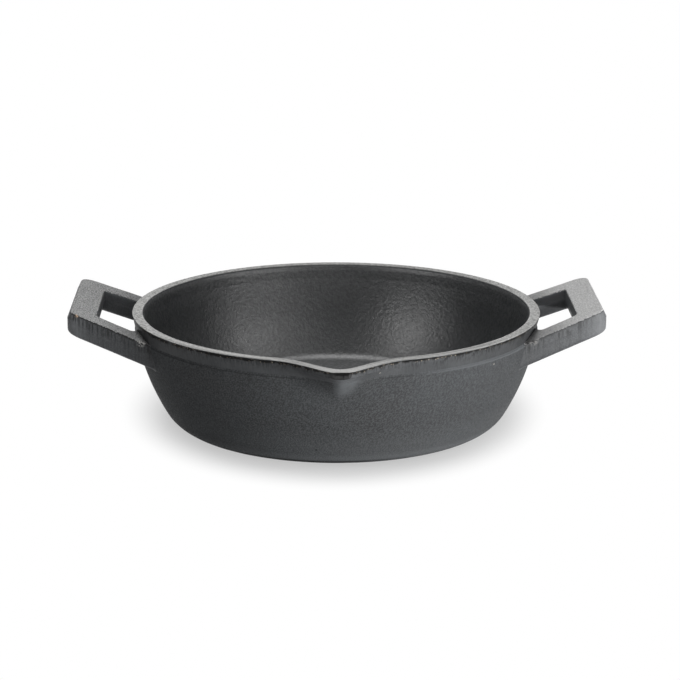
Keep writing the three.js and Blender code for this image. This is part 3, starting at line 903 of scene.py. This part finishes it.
# A whole loop: the front half, and the back half with rounder corners
def loop_handle(name, side):
    front = half_handle(front_corner, crisp_gap_edge) * np.array([1, -1, 1])
    crisp = half_handle(back_corner, crisp_gap_edge)
    rounded = half_handle(back_corner, round_gap_edge)
    share_rounded = np.interp(np.arange(len(crisp)), [0, 8, 62, 70], [0.5, 0.6, 1, 0])
    back = crisp + (rounded - crisp) * share_rounded[:, None, None]

    # The front edges of the top are torn where the fins were ground off
    bar_share, bar_depth, _ = bar_points(crisp_gap_edge)
    worn_edge = np.clip(1 - bar_depth / 0.0012, 0, 1) * (bar_share > 0.95)
    for ring in front:
        for point, worn in zip(ring, worn_edge):
            place = side * point[0]
            torn = noise.noise(Vector((place * 620, 0, 4.1)))
            torn += 0.5 * noise.noise(Vector((place * 1500, 0, 1.3)))
            point[2] -= (0.0007 - side * 0.0004) * worn * max(0.0, torn - 0.05)
    rings = np.concatenate([front, back[:-1][::-1]]) * np.array([side, 1, 1])
    piece = cast_skin(name, rings)
    nick = Vector((side * nick_place.x, nick_place.y, nick_place.z))
    moves = []
    for vertex in piece.data.vertices:
        rough = max(0.0, 1 - (vertex.co - nick).length / nick_reach)
        swell = 0.00004 * noise.noise(vertex.co * 170) + 0.00003 * noise.noise(vertex.co * 430)
        swell += rough * 0.0009 * noise.noise(vertex.co * 800)
        moves.append(vertex.co + vertex.normal * swell)
    for vertex, move in zip(piece.data.vertices, moves):
        vertex.co = move
    return piece


right_handle = loop_handle("right_handle_casting", 1)
left_handle = loop_handle("left_handle_casting", -1)


# The iron of the handles: grey grains on top, wheel streaks down the faces, bare metal on the nicks
def handle_iron(name, side, torn_share, top_pale, top_dark, nick_colour, bare_spot, bare_colour):
    iron = bpy.data.materials.new(name)
    iron.use_nodes = True
    tree = iron.node_tree
    shader = tree.nodes["Principled BSDF"]
    shader.inputs["Specular IOR Level"].default_value = 0.15
    grain = use_group(tree, sand_grain, Grains_per_metre=1450.0, Lumps=0.4)
    film = use_group(tree, season_film, Patch_size=45.0)
    wheel = use_group(tree, wheel_marks, Marks_per_metre=1200.0, Stretch=0.04)
    x, y, z = split(tree, place_on_pan(tree))
    facing = split(tree, add(tree, "ShaderNodeNewGeometry").outputs["Normal"])
    mottled = sums(tree, "ADD", facing[2], times(tree, grain["Speckle"], 0.3))
    on_top = ramp(tree, mottled, 0.76, 0.96)

    # Upright faces: rubbed paler at the outer end, and painted shade by the pan
    along = sums(tree, "ABSOLUTE", x)
    side_iron = blend_colours(tree, film["Thickness"], (0.062, 0.0644, 0.0678, 1), (0.05, 0.0522, 0.0548, 1))
    bare_grains = times(tree, grain["Speckle"], 0.5)
    side_iron = blend_colours(tree, bare_grains, side_iron, (0.095, 0.0983, 0.102, 1))
    worn_end = ramp(tree, along, 0.116, 0.127, 0.0, 0.5)
    side_iron = blend_colours(tree, worn_end, side_iron, (0.15, 0.1545, 0.16, 1))
    painted_shade_by_pan = ramp(tree, along, 0.112, 0.096, 0.0, 0.31 + 0.08 * side)
    side_iron = blend_colours(tree, painted_shade_by_pan, side_iron, (0.03, 0.031, 0.0325, 1))

    # Faces of the back arm in the finger gap: painted light near the top, painted shade from the parting
    # down
    top_here = times(tree, sums(tree, "SUBTRACT", along, rim_radius), top_slope)
    depth = sums(tree, "SUBTRACT", sums(tree, "ADD", top_here, rim_height - handle_drop), z)
    in_gap = times(tree, ramp(tree, y, 0.015, 0.025), ramp(tree, facing[1], -0.3, -0.8))
    painted_light_high_up = times(tree, in_gap, ramp(tree, depth, 0.007, 0.004, 0.0, 0.5 + 0.25 * side))
    painted_shade_low_down = times(tree, in_gap, ramp(tree, depth, 0.004, 0.008, 0.0, 0.3 + 0.3 * side))
    side_iron = blend_colours(tree, painted_light_high_up, side_iron, (0.11, 0.114, 0.119, 1))
    side_iron = blend_colours(tree, painted_shade_low_down, side_iron, (0.018, 0.0186, 0.0195, 1))

    # Front faces: the edge is torn black, and the streaks reach down to the mould's parting
    in_front = ramp(tree, y, -0.02, -0.03)
    streaked = ramp(tree, depth, parting_depth + 0.002, parting_depth - 0.002, 0.25, 0.75)
    off_end = ramp(tree, along, 0.123, 0.113, 0.65 - 0.35 * side, 1.0)
    streaked = times(tree, streaked, in_front, off_end)
    streaks = times(tree, wheel["Dark"], streaked)
    side_iron = blend_colours(tree, streaks, side_iron, (0.01, 0.01, 0.01, 1))
    torn_to = times(tree, sums(tree, "SUBTRACT", wheel["Marks"], 0.38), 0.005)
    torn = ramp(tree, sums(tree, "SUBTRACT", depth, torn_to), 0.0004, 0.0)
    torn = times(tree, torn, ramp(tree, depth, -0.0004, -0.0001), in_front, torn_share)
    side_iron = blend_colours(tree, torn, side_iron, (0.012, 0.012, 0.012, 1))

    # Top: grey grains, darker by the pan, and bare metal where the casting was knocked
    top_iron = blend_colours(tree, grain["Speckle"], top_dark, top_pale)
    near_pan = ramp(tree, along, 0.116, 0.098, 0.0, 0.42 + 0.09 * side)
    top_iron = blend_colours(tree, near_pan, top_iron, (0.04, 0.04, 0.042, 1))
    bar_iron = blend_colours(tree, on_top, side_iron, top_iron)
    nick = (side * nick_place.x, nick_place.y, nick_place.z)
    kept = ramp(tree, grain["Speckle"], 0.2, 0.6)
    for place, reach, colour in ((nick, 0.0030, nick_colour), (bare_spot, 0.0013, bare_colour)):
        bar_iron = dot(tree, bar_iron, place, reach, colour, kept)
    tree.links.new(bar_iron, shader.inputs["Base Color"])
    tree.links.new(ramp(tree, film["Thickness"], 0.0, 1.0, 0.52, 0.44), shader.inputs["Roughness"])
    streak_relief = times(tree, wheel["Height"], streaked, 0.5)
    side_relief = sums(tree, "ADD", streak_relief, times(tree, grain["Height"], 0.4))
    top_relief = times(tree, grain["Height"], 0.8)
    lifted = blend_values(tree, on_top, side_relief, top_relief)
    relief = add(tree, "ShaderNodeBump", Strength=1.0, Distance=grain_depth, Height=lifted)
    tree.links.new(relief.outputs[0], shader.inputs["Normal"])
    return iron


# Paler top colours on the right handle and darker ones on the left are painted light and shade.
# The left nick's paler colour is partly a painted highlight, the right nick's dimmer one partly painted
# shade.
right_iron = handle_iron(
    "right_handle_iron",
    side=1,
    torn_share=0.45,
    top_pale=(0.6, 0.6, 0.597, 1),
    top_dark=(0.345, 0.345, 0.345, 1),
    nick_colour=(0.15, 0.147, 0.142, 1),
    bare_spot=(0.1243, -0.0362, 0.0600),
    bare_colour=(0.1, 0.103, 0.106, 1),
)
left_iron = handle_iron(
    "left_handle_iron",
    side=-1,
    torn_share=0.85,
    top_pale=(0.4, 0.402, 0.4, 1),
    top_dark=(0.125, 0.126, 0.127, 1),
    nick_colour=(0.4, 0.392, 0.378, 1),
    bare_spot=(-0.1242, -0.0366, 0.0625),
    bare_colour=(0.45, 0.32, 0.22, 1),
)
for handle, iron, node in (
    (right_handle, right_iron, "right_handle"),
    (left_handle, left_iron, "left_handle"),
):
    handle.data.materials.append(iron)
    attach(handle, "root")
    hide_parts(node)

# Floor
# A wide sheet of white paper that the pan stands on. It is white to the camera and in mirror images,
# and round the pan its matt surface shows through, which takes the pan's soft shadow.
paper_half_width = 6
paper_white = (0.62, 0.62, 0.62, 1)
shadow_middle = (-0.0005, 0.0198, 0.0)
shadow_squash = (1.0, 0.77, 1.0)
shadow_start = 0.080
shadow_end = 0.109
glow_in_shadow = 0.49
sheet = bpy.data.meshes.new("paper_floor")
sheet_corners = [(-1, -1, 0), (1, -1, 0), (1, 1, 0), (-1, 1, 0)]
sheet.from_pydata([Vector(corner) * paper_half_width for corner in sheet_corners], [], [(0, 1, 2, 3)])
paper_floor = bpy.data.objects.new("paper_floor", sheet)
scene.collection.objects.link(paper_floor)
paper = bpy.data.materials.new("white_paper")
paper.use_nodes = True
tree = paper.node_tree
tree.nodes.remove(tree.nodes["Principled BSDF"])
rays = add(tree, "ShaderNodeLightPath").outputs
seen = sums(tree, "MAXIMUM", rays["Is Camera Ray"], rays["Is Glossy Ray"])
seen = sums(tree, "MAXIMUM", seen, rays["Is Transmission Ray"])
squashed = vectors(tree, "MULTIPLY", add(tree, "ShaderNodeTexCoord").outputs["Object"], shadow_squash)
from_pan = vectors(tree, "DISTANCE", squashed, shadow_middle)
lit = times(tree, seen, ramp(tree, from_pan, shadow_start, shadow_end, glow_in_shadow, 1.0))
matt = add(tree, "ShaderNodeBsdfDiffuse", Color=paper_white)
glow = add(tree, "ShaderNodeEmission", Color=(1, 1, 1, 1), Strength=1.0)
mixed = add(tree, "ShaderNodeMixShader", i0=lit, i1=matt.outputs[0], i2=glow.outputs[0])
tree.links.new(mixed.outputs[0], tree.nodes["Material Output"].inputs["Surface"])
sheet.materials.append(paper)

# Studio light
# Soft boxes and lit cards on stands: three cards low in front, one of them no higher than the pan,
# a box to the left, two to the right of the camera, and two large ones above and behind the pan.
lamps_aim = Vector((0, 0, 0.04))


# A flat lamp that faces the pan
def soft_lamp(name, swing, rise, distance, width, height, power):
    lamp = bpy.data.lights.new(name, "AREA")
    lamp.shape = "RECTANGLE"
    lamp.size = width
    lamp.size_y = height
    lamp.energy = power
    holder = bpy.data.objects.new(name, lamp)
    towards = direction(swing, rise)
    holder.location = lamps_aim + towards * distance
    holder.rotation_euler = towards.to_track_quat("Z", "Y").to_euler()
    scene.collection.objects.link(holder)


soft_lamp("low_card", 44, -0.8, 0.68, 0.45, 0.05, 6.0)
soft_lamp("edge_card", 50, 6, 0.7, 0.4, 0.08, 0.4)
soft_lamp("low_front_card", 0, 10, 0.7, 0.25, 0.2, 0.14)
soft_lamp("front_box", 30, 28, 0.85, 0.25, 0.25, 0.42)
soft_lamp("right_box", 66, 28, 0.85, 0.25, 0.25, 0.98)
soft_lamp("left_box", -57, 28, 0.85, 0.36, 0.25, 1.3)
soft_lamp("overhead_box", 0, 89.9, 1.16, 0.9, 0.9, 6.3)
soft_lamp("back_box", 191, 51, 1.22, 0.8, 0.8, 6.6)

# The room is white where the camera sees it, and iron mirrors it up to just over the horizon
world = bpy.data.worlds.new("studio_room")
world.use_nodes = True
scene.world = world
tree = world.node_tree
rays = add(tree, "ShaderNodeLightPath").outputs
seen = sums(tree, "MAXIMUM", rays["Is Camera Ray"], rays["Is Transmission Ray"])
upwards = split(tree, add(tree, "ShaderNodeTexCoord").outputs["Generated"])[2]
mirrored = times(tree, rays["Is Glossy Ray"], ramp(tree, upwards, 0.16, 0.06))
tree.links.new(sums(tree, "MAXIMUM", seen, mirrored), tree.nodes["Background"].inputs["Strength"])
tree.nodes["Background"].inputs["Color"].default_value = (1, 1, 1, 1)
